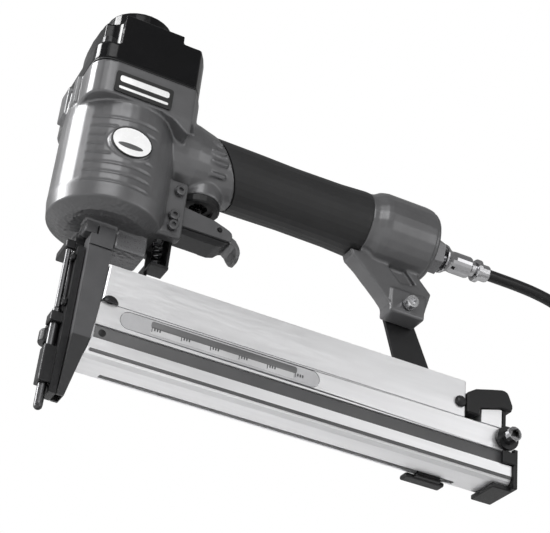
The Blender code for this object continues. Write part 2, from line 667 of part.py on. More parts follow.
give(turned("air_nipple", (0, INLET_Z), "X", [
    (2.0, 206), (2.9, 206), (2.9, 183), (1.6, 183), (1.6, 206)], steps=20, ring=True), BRIGHT_STEEL)
give(turned("coupler_body", (0, INLET_Z), "X", [
    (4.1, 219.0), (4.1, 199.6), (3.2, 199.6), (3.2, 207), (1.8, 207), (1.8, 219.0)], steps=24,
    ring=True), BRIGHT_STEEL)
sleeve = turned("coupler_sleeve", (0, INLET_Z), "X", [
    (5.6, 215.2), (5.9, 214.6), (5.9, 205.4), (5.6, 203.4), (6.2, 201.8), (7.8, 199.6),
    (8.0, 198.6), (7.6, 198.3), (4.4, 201.0), (4.4, 215.2)], steps=20, ring=True)
give(sleeve, BRIGHT_STEEL)
hang("sleeve_axis", (199.2, 0, INLET_Z), sleeve)
give(turned("hose_ferrule", (0, INLET_Z), "X", [
    (4.3, 227.0), (4.6, 226.4), (4.6, 221.8), (6.2, 221.2), (6.2, 219.3), (5.8, 218.8),
    (4.4, 218.8), (4.4, 219.3), (1.8, 219.3), (1.8, 227.0)], steps=24, ring=True), BRIGHT_STEEL)


# Hose ----------------------------------------------------------------------------------------

give(wire("hose", smooth_route(HOSE_ROUTE, 26), HOSE_RADIUS, sides=3), HOSE_BLACK)


def hose_coil():
    """The outer shape of the wound length: a flat coil two turns wide."""
    low = COIL_LIFT
    high = COIL_LIFT + 2 * HOSE_RADIUS
    return turned("hose_coil", COIL_CENTRE, "Z", [
        (COIL_OUTER - 1.4, high), (COIL_OUTER, high - 1.6), (COIL_OUTER, low + 1.6),
        (COIL_OUTER - 1.4, low), (COIL_INNER + 1.4, low), (COIL_INNER, low + 1.6),
        (COIL_INNER, high - 1.6), (COIL_INNER + 1.4, high)], steps=40, ring=True)


def coil_tie():
    """A strap round the bundle, on the side away from the hose's ends."""
    x, y = COIL_CENTRE
    low = y + COIL_INNER - 1.7
    high = y + COIL_OUTER + 1.3
    top = COIL_LIFT + 2 * HOSE_RADIUS + 1.3
    tie = box("coil_tie", (x - 5, x + 5), (low, high), (0, top))
    cut(tie, box("tie_room", (x - 6, x + 6), (low + 0.9, high - 0.9), (0.9, top - 0.9)))
    return give(tie, PLASTIC)


coil_top = COIL_LIFT + 2 * HOSE_RADIUS
tail_y = COIL_CENTRE[1] - 25.4
tail_z = coil_top + GAP + 4.4
give(hose_coil(), HOSE_BLACK)
coil_tie()
give(rod("hose_tail", (tail_y, tail_z), "X", HOSE_RADIUS, 355, 369), HOSE_BLACK)
plug_fit = turned("hose_plug", (tail_y, tail_z), "X", [
    (0, 394), (2.6, 394), (3.1, 392.5), (3.1, 389), (2.3, 388), (2.3, 386), (3.4, 385),
    (3.4, 381), (4.4, 380.4), (4.4, 374.4), (4.0, 373.8), (4.0, 369.3), (0, 369.3)], steps=20)
give(plug_fit, BRIGHT_STEEL)


# Magazine: fixed rail, strap and core ---------------------------------------------------------

def magazine_rail():
    """The fixed upper half: a channel open below."""
    split = MAGAZINE_SPLIT + GAP
    rail = prism("magazine_rail", [(17.4, RAIL_TOP), (RAIL_REAR, RAIL_TOP), (RAIL_REAR, split),
                                   (16.6, split)], "Y", -MAGAZINE_HALF_WIDTH,
                 MAGAZINE_HALF_WIDTH)
    bevel = rail.modifiers.new("edges", "BEVEL")
    bevel.width = 0.9 * MM
    bevel.segments = 2
    bevel.limit_method = "ANGLE"
    cut(rail, box("rail_channel", (10, 214), (-7.4, 7.4), (50, 71.6)))
    cut(rail, rod("rail_screw_hole", LATCH_PIN, "Y", 1.5, -14, -5, sides=12),
        rod("stop_hole", (20.6, MAGAZINE_SPLIT), "Y", 1.6, -14, -5, sides=12))
    return give(rail, ALUMINIUM)


def dome_screw(name, place, radius, height):
    """A dome-headed screw in the near wall of the rail, square to it."""
    head = turned(name, place, "Y", [
        (0, -7.6), (1.2, -7.6), (1.2, -11.7), (radius, -11.7), (radius, -12.3),
        (radius * 0.8, -11.7 - height * 0.75), (radius * 0.45, -11.7 - height),
        (0, -11.7 - height)], steps=16)
    return give(head, DARK_STEEL)


def rail_strap():
    strap = prism("rail_strap", [(167.8, 116), (168.6, 112), (171.4, 104.6),
                                 (181.3, RAIL_TOP + GAP), (203, RAIL_TOP + GAP),
                                 (188.4, 106.7), (186.6, 110), (186.6, 116)], "Y", 6.5, 8.6)
    join(strap, box("strap_foot", (181.8, 202.2), (1.5, 8.4), (RAIL_TOP + GAP + 0.02, RAIL_TOP + 1.9)))
    cut(strap, rod("strap_hole", (177, 111.2), "Y", 1.9, 0, 12, sides=14))
    return give(strap, DARK_STEEL)


magazine_rail()
dome_screw("rail_screw", LATCH_PIN, 3.1, 1.9)
stop = dome_screw("front_stop", (20.6, MAGAZINE_SPLIT), 4.0, 2.2)
cut(stop, box("stop_cut", (10, 30), (-20, 0), (45, MAGAZINE_SPLIT + GAP)))
rail_strap()
strap_bolt = socket_screw("strap_bolt", (177, 111.2), "Y", 3.5, (-6.5, -11.6), 1.5, 12.2, 2.0)
give(strap_bolt, BRIGHT_STEEL)
strap_nut = rod("strap_nut", (177, 111.2), "Y", 3.6, 8.9, 11.7, sides=6)
cut(strap_nut, rod("nut_thread", (177, 111.2), "Y", 1.7, 8, 14, sides=12))
give(strap_nut, BRIGHT_STEEL)
give(box("core_rail", (18.6, 205), (-2.6, 2.6), (32, 71.3), bevel=0.5), BRIGHT_STEEL)


# Magazine: sliding cover and what rides on it -------------------------------------------------

def cover_section():
    """Half of the cover's cross-section mirrored into the whole, as y and z."""
    wide = MAGAZINE_HALF_WIDTH
    outer = [(wide, MAGAZINE_SPLIT), (wide, 43.5), (wide - 1.8, 43.5), (wide - 1.8, 36.5),
             (wide, 36.5), (wide, 31.2), (wide - 1.2, 28.4), (wide - 3.4, MAGAZINE_BOTTOM)]
    inner = [(7.2, MAGAZINE_SPLIT), (7.2, 30.2)]
    left = [(-y, z) for y, z in outer]
    return (outer + left[::-1] + [(-y, z) for y, z in inner] + inner[::-1])


def stadium(x0, x1, z0, z1):
    return rounded((x0, z0), (x1, z1), (z1 - z0) / 2 - 0.01, 6)


def magazine_cover():
    cover = prism("magazine_cover", cover_section(), "X", 10, MAGAZINE_REAR)
    block = box("cover_block", (213, MAGAZINE_REAR - 0.8), (-9.2, 9.2), (40, 55.5))
    cut(block, box("spine_room", (229.6, 240), (-10, 10), (46, 60)))
    join(cover, block)
    front = prism("cover_front", [(5, 60), (16.7, 60), (15.0, 36),
                                  (11.6, 20), (5, 20)], "Y", -20, 20)
    near = -MAGAZINE_HALF_WIDTH
    cut(cover, front, box("knob_slot", (26, 214), (3.6, 6.8), (20, 32)),
        rod("latch_bore", LATCH_PIVOT, "Y", 2.3, -14, 14),
        rod("band_hole", (19.8, 40.0), "Y", 1.8, near - 1, near + 8, sides=16),
        prism("window_recess", stadium(26.5, 129, 45.3, 54.3), "Y", near - 1, near + 1.0),
        prism("window_slot", stadium(42, 116.3, 50.8, 53.2), "Y", near - 1, near + 6))
    return give(cover, ALUMINIUM)


def end_cap():
    """Plate over the rear of the cover with a foot lip that turns under it."""
    cap = box("end_cap", (MAGAZINE_REAR + GAP, 240.2), (-12.9, 11.6), (24.4, 45.6), bevel=0.5)
    join(cap, box("foot_lip", (228.4, 239.8), (-9, 11.4), (24.2, MAGAZINE_BOTTOM - GAP),
                  bevel=0.5),
         box("near_tab", (231.2, 239), (-13.2, -11.7), (36.8, 43.3), bevel=0.4),
         rod("cap_tongue", (0, 34.5), "X", 2.6, 230, 240))
    return give(cap, PLASTIC)


def latch():
    """Thumb head over the rear of the rail, on a spine that stands in the cover's end."""
    head = prism("latch_lever", [(210.5, 58.4), (210.3, 69.2), (215.4, 72.6), (224, 75.0),
                                 (231.6, 76.9), (234.6, 75.5), (237.4, 69), (236.2, 65.4),
                                 (229.9, 66.0), (218.6, 62.9), (217.6, 58.2)], "Y", -12.6, 12.6)
    bevel = head.modifiers.new("edges", "BEVEL")
    bevel.width = 0.8 * MM
    bevel.limit_method = "ANGLE"
    spine = [(234.6, 55), (234.0, 67), (231.8, 67), (231.8, 54)] + arc(LATCH_PIVOT, 3.2, 182, 358, 9)
    join(head, prism("latch_spine", spine, "Y", -6.9, 6.9),
         box("latch_back", (231.9, 233.7), (-11.2, 11.2), (56.7, 66.6)))
    cut(head, rod("latch_hole", LATCH_PIVOT, "Y", 2.3, -20, 20))
    return give(head, PLASTIC)


def latch_post():
    """Light block under the thumb head, in front of the spine."""
    return give(prism("latch_post", [(219.4, 55.9), (231.2, 55.9), (231.2, 65.6), (229.9, 65.6),
                                     (219.4, 62.6)], "Y", -11.2, 11.2), ALUMINIUM)


def latch_bolt():
    """Pivot bolt through both walls, on a round boss on the near side."""
    bolt = socket_screw("latch_bolt", LATCH_PIVOT, "Y", 3.8, (-13.8, -20.6), 2.0, 14.2, 1.8)
    join(bolt, rod("latch_boss", LATCH_PIVOT, "Y", 6.2, -14.0, -11.8, sides=26))
    return bolt


def pusher():
    """Follower that straddles the core rail, with a finger knob under the cover."""
    body = box("pusher", (189, 211), (-6.8, 6.8), (31, 50), bevel=0.5)
    cut(body, box("pusher_room", (180, 214), (-3.2, 3.2), (31.4, 60)))
    join(body, box("pusher_neck", (194, 206), (4.1, 6.3), (26, 33)),
         box("knob_web", (193, 207), (4.8, 10), (24.9, 26.5)),
         box("pusher_knob", (188.4, 210.4), (6.9, 13.6), (24.3, MAGAZINE_BOTTOM - GAP),
             bevel=0.9))
    return give(body, PLASTIC)


cover = magazine_cover()
cap = end_cap()
lever_head = latch()
post = latch_post()
plate = prism("scale_plate", stadium(26.8, 128.7, 45.6, 54.0), "Y", -11.35, -10.7)
cut(plate, prism("scale_slot", stadium(42, 116.3, 50.8, 53.2), "Y", -13, -9))
give(plate, SCALE)
bolt = latch_bolt()
follower = pusher()
hang("magazine_axis", (MAGAZINE_REAR, 0, MAGAZINE_BOTTOM), cover, cap, plate, bolt)
hang("latch_axis", (LATCH_PIVOT[0], 0, LATCH_PIVOT[1]), lever_head, post)
hang("pusher_axis", (200, 0, 31), follower)
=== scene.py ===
"""Looks of the pneumatic nailer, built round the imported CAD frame. Lengths are in metres."""
import json
import math

import bmesh
import bpy
from mathutils import Matrix, Vector, noise

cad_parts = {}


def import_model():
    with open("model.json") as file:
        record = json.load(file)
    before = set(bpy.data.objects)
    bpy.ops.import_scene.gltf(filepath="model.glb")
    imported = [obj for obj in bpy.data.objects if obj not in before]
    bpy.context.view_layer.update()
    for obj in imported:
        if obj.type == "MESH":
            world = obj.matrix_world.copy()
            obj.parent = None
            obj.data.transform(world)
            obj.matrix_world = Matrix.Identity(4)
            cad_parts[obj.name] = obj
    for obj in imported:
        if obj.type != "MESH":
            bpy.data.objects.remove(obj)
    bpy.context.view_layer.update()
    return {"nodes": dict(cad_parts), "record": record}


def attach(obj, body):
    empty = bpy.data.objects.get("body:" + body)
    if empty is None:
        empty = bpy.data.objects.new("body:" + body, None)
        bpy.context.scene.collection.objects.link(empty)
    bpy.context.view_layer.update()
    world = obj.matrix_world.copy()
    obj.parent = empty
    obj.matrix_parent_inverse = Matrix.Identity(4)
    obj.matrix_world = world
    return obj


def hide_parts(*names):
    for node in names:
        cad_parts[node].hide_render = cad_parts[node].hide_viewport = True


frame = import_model()
BARREL_X = 0.014   # the barrel's upright axis
HANDLE_Z = 0.1524  # the handle's axis


# Camera ------------------------------------------------------------------------------------

CAMERA_TURNS = (-22.57, -31.57, 6.58)  # azimuth, elevation and roll, in degrees
CAMERA_TARGET = (0.1040, 0.0, 0.1112)
CAMERA_DISTANCE = 0.75
CAMERA_LENS = 98.65                    # in millimetres, for a sensor 36 mm wide


def make_camera():
    """The photograph's view: from below, in front and to the left, with a roll."""
    azimuth, elevation, roll = (math.radians(turn) for turn in CAMERA_TURNS)
    back = Vector((math.sin(azimuth) * math.cos(elevation),
                   -math.cos(azimuth) * math.cos(elevation), math.sin(elevation)))
    level = Vector((math.cos(azimuth), math.sin(azimuth), 0.0))
    up = Vector((-math.sin(elevation) * math.sin(azimuth),
                 math.sin(elevation) * math.cos(azimuth), math.cos(elevation)))
    right = level * math.cos(roll) + up * math.sin(roll)
    top = up * math.cos(roll) - level * math.sin(roll)
    place = Vector(CAMERA_TARGET) + back * CAMERA_DISTANCE
    data = bpy.data.cameras.new("camera")
    data.sensor_width = 36.0
    data.lens = CAMERA_LENS
    data.clip_start = 0.05
    data.clip_end = 20.0
    camera = bpy.data.objects.new("camera", data)
    bpy.context.scene.collection.objects.link(camera)
    camera.matrix_world = Matrix.Translation(place) @ Matrix(
        (right, top, back)).transposed().to_4x4()
    bpy.context.scene.camera = camera


make_camera()


# Mesh helpers --------------------------------------------------------------------------------

def link(name, data):
    """A new object in the scene."""
    obj = bpy.data.objects.new(name, data)
    bpy.context.scene.collection.objects.link(obj)
    return obj


def smooth_route(points, count):
    """A Catmull-Rom curve through the points, read at count even steps of its parameter."""
    padded = [Vector(p) for p in [points[0]] + list(points) + [points[-1]]]
    spans = len(points) - 1
    result = []
    for i in range(count):
        place = i / (count - 1) * spans
        k = min(int(place), spans - 1)
        t = place - k
        a, b, c, d = padded[k:k + 4]
        result.append(0.5 * (2 * b + (c - a) * t + (2 * a - 5 * b + 4 * c - d) * t ** 2
                             + (3 * b - a - 3 * c + d) * t ** 3))
    return result


def tube(name, points, radius):
    """A round hose along points: the width is in the points, so that its box is true."""
    curve = bpy.data.curves.new(name, "CURVE")
    curve.dimensions = "3D"
    curve.bevel_depth = 1.0
    curve.bevel_resolution = 5
    curve.use_fill_caps = True
    spline = curve.splines.new("POLY")
    spline.points.add(len(points) - 1)
    for point, place in zip(spline.points, points):
        point.co = (*place, 1.0)
        point.radius = radius
    spline.use_smooth = True
    return link(name, curve)


# Hose ----------------------------------------------------------------------------------------

HOSE_RADIUS = 0.003175
HOSE_SAMPLES = 420
HOSE_ROUTE = [
    (0.2273, 0.0, 0.1504), (0.2370, 0.0, 0.1504), (0.2470, -0.0001, 0.1502),
    (0.2580, -0.0006, 0.1491), (0.2685, -0.0020, 0.1461), (0.2775, -0.0046, 0.1401),
    (0.2845, -0.0084, 0.1312), (0.2895, -0.0130, 0.1200), (0.2930, -0.0180, 0.1070),
    (0.2958, -0.0228, 0.0935), (0.2980, -0.0268, 0.0800), (0.3002, -0.0301, 0.0665),
    (0.3028, -0.0332, 0.0532), (0.3060, -0.0364, 0.0405), (0.3102, -0.0398, 0.0288),
    (0.3156, -0.0431, 0.0186), (0.3194, -0.0449, 0.0142), (0.3244, -0.0469, 0.0096),
]
PLUG_ROUTE = [(0.3535, -0.0394, 0.0087), (0.3600, -0.0394, 0.0109), (0.3650, -0.0394, 0.0121),
              (0.3694, -0.0394, 0.01245)]

COIL_CENTRE = (0.347, -0.0140)
COIL_START = -114.0     # degrees, where the free stretch meets the outer turn
COIL_END = 630.0
COIL_STEPS = 62
COIL_RADIUS = 0.0384    # at the start of the outer turn
COIL_CLOSING = 0.0130   # how much smaller the radius is at the coil's end
COIL_HEIGHT = 0.0033    # of the hose's middle line, where it lies on the floor
TIE_ANGLE = 90.0
TIE_WIDTH = 22.0        # degrees over which the hose rises for the tie
TIE_RISE = 0.0013
CLIMB_ANGLE = 555.0     # where the hose starts to climb over the coil
CLIMB_WIDTH = 75.0
CLIMB_RISE = 0.0038
LANDING_STEPS = 6       # how many steps the free stretch takes to come down
LANDING_RISE = 0.0030


def coil_points():
    """The wound length: two turns side by side, then up over them to the plug."""
    points = []
    for i in range(COIL_STEPS + 1):
        share = i / COIL_STEPS
        angle = COIL_START + (COIL_END - COIL_START) * share
        radius = COIL_RADIUS - COIL_CLOSING * share
        from_tie = abs((angle - TIE_ANGLE + 180.0) % 360.0 - 180.0)
        height = COIL_HEIGHT + TIE_RISE * math.exp(-(from_tie / TIE_WIDTH) ** 2)
        height += CLIMB_RISE * max(0.0, (angle - CLIMB_ANGLE) / CLIMB_WIDTH) ** 2
        if i < LANDING_STEPS:
            height += LANDING_RISE * (1 - i / LANDING_STEPS) ** 2
        turn = math.radians(angle)
        points.append((COIL_CENTRE[0] + radius * math.cos(turn),
                       COIL_CENTRE[1] + radius * math.sin(turn), height))
    return points


hose_line = smooth_route(HOSE_ROUTE + coil_points() + PLUG_ROUTE, HOSE_SAMPLES)
hose = tube("supply_hose", hose_line, HOSE_RADIUS)
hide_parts("hose", "hose_coil", "hose_tail")
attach(hose, "tool")


# Materials -----------------------------------------------------------------------------------

TINT = 0.12              # how far the colour strays, as a share of itself
BLOTCH_GRAIN = 55.0      # frequencies per metre
SCUFF_GRAIN = 420.0
SCUFF_STRENGTH = 0.75
COAT_ROUGHNESS = 0.12


def look(name, colour, roughness, metallic, spread, grain, bump, depth,
         stretch=(1, 1, 1), coat=0.0, worn=None, specular=None):
    """A surface with uneven roughness, faint colour variation and a fine relief.

    spread is how far roughness strays, grain the relief's frequency per metre, depth its
    height in metres, and worn a colour that shows through in small scuffs.
    """
    made = bpy.data.materials.new(name)
    made.use_nodes = True
    nodes, links = made.node_tree.nodes, made.node_tree.links
    shader = nodes["Principled BSDF"]
    shader.inputs["Metallic"].default_value = metallic
    shader.inputs["Coat Weight"].default_value = coat
    if coat:
        shader.inputs["Coat Roughness"].default_value = COAT_ROUGHNESS
    if specular is not None:
        shader.inputs["Specular IOR Level"].default_value = specular
    where = nodes.new("ShaderNodeTexCoord")
    mapping = nodes.new("ShaderNodeMapping")
    mapping.inputs["Scale"].default_value = stretch
    links.new(where.outputs["Object"], mapping.inputs["Vector"])

    def cloud(scale, detail, rough=0.55):
        texture = nodes.new("ShaderNodeTexNoise")
        texture.inputs["Scale"].default_value = scale
        texture.inputs["Detail"].default_value = detail
        texture.inputs["Roughness"].default_value = rough
        links.new(mapping.outputs["Vector"], texture.inputs["Vector"])
        return texture

    def ranged(source, low, high, start=0.3, end=0.7):
        node = nodes.new("ShaderNodeMapRange")
        node.inputs["From Min"].default_value = start
        node.inputs["From Max"].default_value = end
        node.inputs["To Min"].default_value = low
        node.inputs["To Max"].default_value = high
        links.new(source, node.inputs["Value"])
        return node.outputs["Result"]

    broad = cloud(BLOTCH_GRAIN, 4.0)
    fine = cloud(grain, 3.0)
    dark = tuple(c * (1 - TINT) for c in colour)
    light = tuple(min(1.0, c * (1 + TINT)) for c in colour)
    mix = nodes.new("ShaderNodeMix")
    mix.data_type = "RGBA"
    mix.inputs["A"].default_value = (*dark, 1)
    mix.inputs["B"].default_value = (*light, 1)
    links.new(ranged(broad.outputs["Fac"], 0.0, 1.0), mix.inputs["Factor"])
    result = mix.outputs["Result"]
    if worn:
        scuffs = cloud(SCUFF_GRAIN, 6.0, 0.75)
        over = nodes.new("ShaderNodeMix")
        over.data_type = "RGBA"
        over.inputs["B"].default_value = (*worn, 1)
        links.new(ranged(scuffs.outputs["Fac"], 0.0, SCUFF_STRENGTH, start=0.66, end=0.74),
                  over.inputs["Factor"])
        links.new(result, over.inputs["A"])
        result = over.outputs["Result"]
    links.new(result, shader.inputs["Base Color"])
    links.new(ranged(fine.outputs["Fac"], max(0.02, roughness - spread), roughness + spread),
              shader.inputs["Roughness"])
    relief = nodes.new("ShaderNodeBump")
    relief.inputs["Strength"].default_value = bump
    relief.inputs["Distance"].default_value = depth
    links.new(fine.outputs["Fac"], relief.inputs["Height"])
    links.new(relief.outputs["Normal"], shader.inputs["Normal"])
    return made


def painted_shade_below(made, height, soft, colour):
    """Paint shade: let a darker colour take over below a height, where less light falls."""
    nodes, links = made.node_tree.nodes, made.node_tree.links
    shader = nodes["Principled BSDF"]
    source = shader.inputs["Base Color"].links[0].from_socket
    where = nodes.new("ShaderNodeTexCoord")
    apart = nodes.new("ShaderNodeSeparateXYZ")
    links.new(where.outputs["Object"], apart.inputs["Vector"])
    edge = nodes.new("ShaderNodeMapRange")
    edge.inputs["From Min"].default_value = height - soft
    edge.inputs["From Max"].default_value = height + soft
    edge.inputs["To Min"].default_value = 1.0
    edge.inputs["To Max"].default_value = 0.0
    links.new(apart.outputs["Z"], edge.inputs["Value"])
    mix = nodes.new("ShaderNodeMix")
    mix.data_type = "RGBA"
    mix.inputs["B"].default_value = (*colour, 1)
    links.new(edge.outputs["Result"], mix.inputs["Factor"])
    links.new(source, mix.inputs["A"])
    links.new(mix.outputs["Result"], shader.inputs["Base Color"])
    return made


LOOKS = {
    "casting": look("cast_enamel", (0.135, 0.135, 0.139), roughness=0.30, metallic=0.45,
                    spread=0.05, grain=1500, bump=0.12, depth=0.00006),
    "cap": look("cap_gloss", (0.004, 0.004, 0.0045), roughness=0.17, metallic=0.0,
                spread=0.05, grain=700, bump=0.05, depth=0.00005, specular=0.2),
    "plastic": look("satin_plastic", (0.010, 0.010, 0.0105), roughness=0.42, metallic=0.0,
                    spread=0.07, grain=1800, bump=0.15, depth=0.00006, specular=0.3),
    "rubber": look("grip_rubber", (0.014, 0.014, 0.0145), roughness=0.5, metallic=0.0,
                   spread=0.06, grain=2200, bump=0.3, depth=0.0001, specular=0.35),
    "aluminium": look("anodised", (0.82, 0.82, 0.83), roughness=0.34, metallic=0.75,
                      spread=0.05, grain=900, bump=0.05, depth=0.00003, stretch=(0.08, 1, 1)),
    "dark_steel": look("blackened_steel", (0.022, 0.022, 0.023), roughness=0.36, metallic=0.6,
                       spread=0.08, grain=900, bump=0.12, depth=0.00005,
                       worn=(0.08, 0.08, 0.08)),
    "steel": look("bright_steel", (0.6, 0.6, 0.61), roughness=0.24, metallic=1.0,
                  spread=0.06, grain=900, bump=0.06, depth=0.00003),
    "chrome": look("plated", (0.42, 0.42, 0.43), roughness=0.10, metallic=1.0,
                   spread=0.04, grain=400, bump=0.03, depth=0.00003),
    "spring": look("spring_wire", (0.08, 0.08, 0.082), roughness=0.3, metallic=1.0,
                   spread=0.06, grain=900, bump=0.06, depth=0.00003),
    "trigger": look("trigger_enamel", (0.10, 0.10, 0.103), roughness=0.36, metallic=0.4,
                    spread=0.06, grain=1500, bump=0.12, depth=0.00006),
    "label": look("label_film", (0.012, 0.012, 0.012), roughness=0.35, metallic=0.0,
                  spread=0.04, grain=600, bump=0.03, depth=0.00003),
    "badge": look("badge_enamel", (0.82, 0.82, 0.82), roughness=0.25, metallic=0.0,
                  spread=0.04, grain=500, bump=0.03, depth=0.00003, coat=0.4),
    "scale": look("scale_film", (0.42, 0.42, 0.43), roughness=0.4, metallic=0.0,
                  spread=0.05, grain=600, bump=0.03, depth=0.00003),
    "hose": look("hose_skin", (0.008, 0.008, 0.0085), roughness=0.36, metallic=0.0,
                 spread=0.06, grain=1400, bump=0.12, depth=0.00005, specular=0.3),
}

# Painted shade: below the rim of its foot the housing is darker, and the guide is darker at its
# tip.
CAST_RIM_Z = 0.1007
GUIDE_TIP_Z = 0.0352
HOUSING_PAINTED_SHADE_LOOK = painted_shade_below(
    look("cast_enamel_housing", (0.115, 0.115, 0.118), roughness=0.34, metallic=0.45,
         spread=0.04, grain=1500, bump=0.03, depth=0.00005),
    CAST_RIM_Z, 0.0004, (0.070, 0.070, 0.072))
GUIDE_LOOK = painted_shade_below(
    look("guide_steel", (0.085, 0.085, 0.088), roughness=0.4, metallic=0.5, spread=0.06,
         grain=900, bump=0.12, depth=0.00005, worn=(0.16, 0.16, 0.16)),
    GUIDE_TIP_Z, 0.0003, (0.035, 0.035, 0.036))
ROD_LOOK = look("rod_steel", (0.075, 0.075, 0.077), roughness=0.32, metallic=0.9,
                spread=0.05, grain=900, bump=0.05, depth=0.00003)
BOLT_LOOK = look("bolt_steel", (0.14, 0.14, 0.143), roughness=0.34, metallic=0.9,
                 spread=0.06, grain=900, bump=0.08, depth=0.00004)
# Dark trim and print, and also the painted shade of the groove line on the magazine.
DARK_TRIM_AND_SHADE_LOOK = look("dark_trim_and_shade_film", (0.07, 0.07, 0.072), roughness=0.45, metallic=0.0,
                 spread=0.06, grain=900, bump=0.08, depth=0.00004)
WINDOW_SHADE_LOOK = look("window_painted_shade", (0.11, 0.11, 0.112), roughness=0.35, metallic=0.0,
                   spread=0.05, grain=700, bump=0.04, depth=0.00003)
STRIP_LOOK = look("strip_pale", (0.5, 0.5, 0.505), roughness=0.4, metallic=0.0,
                  spread=0.05, grain=700, bump=0.04, depth=0.00003)
SPECIAL = {"driver_guide": GUIDE_LOOK}   # pieces whose look isn't their slot's

slots = {entry["node"]: entry["material_slot"] for entry in frame["record"]["subparts"]}
for name, node in frame["nodes"].items():
    for place in node.material_slots:
        place.material = LOOKS[slots[name]]
frame["nodes"]["safety_rod"].material_slots[0].material = ROD_LOOK
for name in ("ear_bolt_upper", "ear_bolt_lower", "trigger_pin"):
    frame["nodes"][name].material_slots[0].material = BOLT_LOOK
hose.data.materials.append(LOOKS["hose"])


# Pieces that refine the CAD shapes --------------------------------------------------------------

BODY_OF = {node: body for body, nodes in frame["record"]["behaviour"]["bodies"].items()
           for node in nodes}


def dress(piece, body, slot, material=None):
    """Let a piece ride on a body and give it its finish."""
    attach(piece, body)
    piece.data.materials.clear()
    piece.data.materials.append(material or LOOKS[slot])
    return piece


def settle(piece):
    """Apply the piece's modifiers to its mesh."""
    bpy.context.view_layer.update()
    evaluated = piece.evaluated_get(bpy.context.evaluated_depsgraph_get())
    piece.data = bpy.data.meshes.new_from_object(evaluated)
    piece.modifiers.clear()


def copy_of(node, name, blocks=()):
    """A new mesh piece in a CAD node's shape, with closed blocks (centre, size, lean) on it.

    lean is a block's turn about X, in radians.
    """
    shape = bmesh.new()
    shape.from_mesh(frame["nodes"][node].data)
    for centre, size, lean in blocks:
        made = bmesh.ops.create_cube(shape, size=1.0)
        bmesh.ops.scale(shape, vec=size, verts=made["verts"])
        bmesh.ops.rotate(shape, matrix=Matrix.Rotation(lean, 3, "X"), verts=made["verts"])
        bmesh.ops.translate(shape, vec=centre, verts=made["verts"])
    mesh = bpy.data.meshes.new(name)
    shape.to_mesh(mesh)
    shape.free()
    piece = link(name, mesh)
    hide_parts(node)
    return piece


FLAT_ANGLE = math.radians(1.0)
BEVEL_ANGLE = math.radians(32)
SHARP_ANGLE = math.radians(40)

# Channel walls beside the rod on the nose plate
CHANNEL_WALLS = [((0.0016, side * 0.0033, 0.0645), (0.0020, 0.0009, 0.0260), 0.0)
                 for side in (-1, 1)]


def shade(piece):
    """Smooth shading with the corners kept sharp."""
    piece.data.shade_smooth()
    piece.data.set_sharp_from_angle(angle=SHARP_ANGLE)


def softened(node, name, width, material=None):
    """A CAD node's shape with its edges rounded as the real piece's are."""
    piece = copy_of(node, name, CHANNEL_WALLS if node == "front_plate" else ())
    flat = piece.modifiers.new("flat", "DECIMATE")
    flat.decimate_type = "DISSOLVE"
    flat.angle_limit = FLAT_ANGLE
    bevel = piece.modifiers.new("edges", "BEVEL")
    bevel.width = width
    bevel.segments = 3
    bevel.limit_method = "ANGLE"
    bevel.angle_limit = BEVEL_ANGLE
    bevel.use_clamp_overlap = True
    bevel.harden_normals = True
    settle(piece)
    shade(piece)
    return dress(piece, BODY_OF[node], slots[node], material)


def moulded(node, name, voxel, rounds, blocks=(), material=None, relief=None):
    """A CAD node's shape as a casting or moulding: one skin with soft edges and fine relief.

    voxel is the skin's grain in metres, and rounds is how often it is smoothed.
    """
    piece = copy_of(node, name, blocks)
    skin = piece.modifiers.new("skin", "REMESH")
    skin.mode = "VOXEL"
    skin.voxel_size = voxel
    soft = piece.modifiers.new("soft", "SMOOTH")
    soft.factor = 0.5
    soft.iterations = rounds
    settle(piece)
    if relief:
        for vertex in piece.data.vertices:
            relief(vertex)
    piece.data.shade_smooth()
    return dress(piece, BODY_OF[node], slots[node], material)


def plate(name, outline, y, thickness, bevel, body, slot, material=None):
    """A thin plate standing in the XZ plane, its outline in metres, with rounded edges."""
    curve = bpy.data.curves.new(name, "CURVE")
    curve.dimensions = "2D"
    curve.fill_mode = "BOTH"
    curve.extrude = thickness / 2
    spline = curve.splines.new("POLY")
    spline.points.add(len(outline) - 1)
    for point, (u, v) in zip(spline.points, outline):
        point.co = (u, v, 0.0, 1.0)
    spline.use_cyclic_u = True
    made = link(name + "_outline", curve)
    made.matrix_world = Matrix.Translation((0, y, 0)) @ Matrix.Rotation(math.pi / 2, 4, "X")
    bpy.context.view_layer.update()
    mesh = bpy.data.meshes.new_from_object(
        made.evaluated_get(bpy.context.evaluated_depsgraph_get()))
    mesh.transform(made.matrix_world)
    bpy.data.objects.remove(made, do_unlink=True)
    piece = link(name, mesh)
    weld = piece.modifiers.new("weld", "WELD")
    weld.merge_threshold = 1e-6
    edges = piece.modifiers.new("edges", "BEVEL")
    edges.width = bevel
    edges.segments = 2
    edges.limit_method = "ANGLE"
    settle(piece)
    shade(piece)
    return dress(piece, body, slot, material)


def ellipse(centre, semi_x, semi_z, count=72):
    """An ellipse in the XZ plane, as an outline for plate()."""
    return [(centre[0] + semi_x * math.cos(2 * math.pi * i / count),
             centre[1] + semi_z * math.sin(2 * math.pi * i / count)) for i in range(count)]


def rounded(low, high, radius, count=8):
    """A rectangle with round corners."""
    (x0, z0), (x1, z1) = low, high
    corners = [((x1 - radius, z0 + radius), -90), ((x1 - radius, z1 - radius), 0),
               ((x0 + radius, z1 - radius), 90), ((x0 + radius, z0 + radius), 180)]
    return [(c[0] + radius * math.cos(math.radians(start + 90 * i / (count - 1))),
             c[1] + radius * math.sin(math.radians(start + 90 * i / (count - 1))))
            for c, start in corners for i in range(count)]


# Housing -------------------------------------------------------------------------------------

BADGE_PLACE = (0.0123, 0.1315)        # X and Z of the oval badge's centre
BADGE_CLEARANCE = (0.0125, 0.0105)    # half sizes of the smooth oval round it

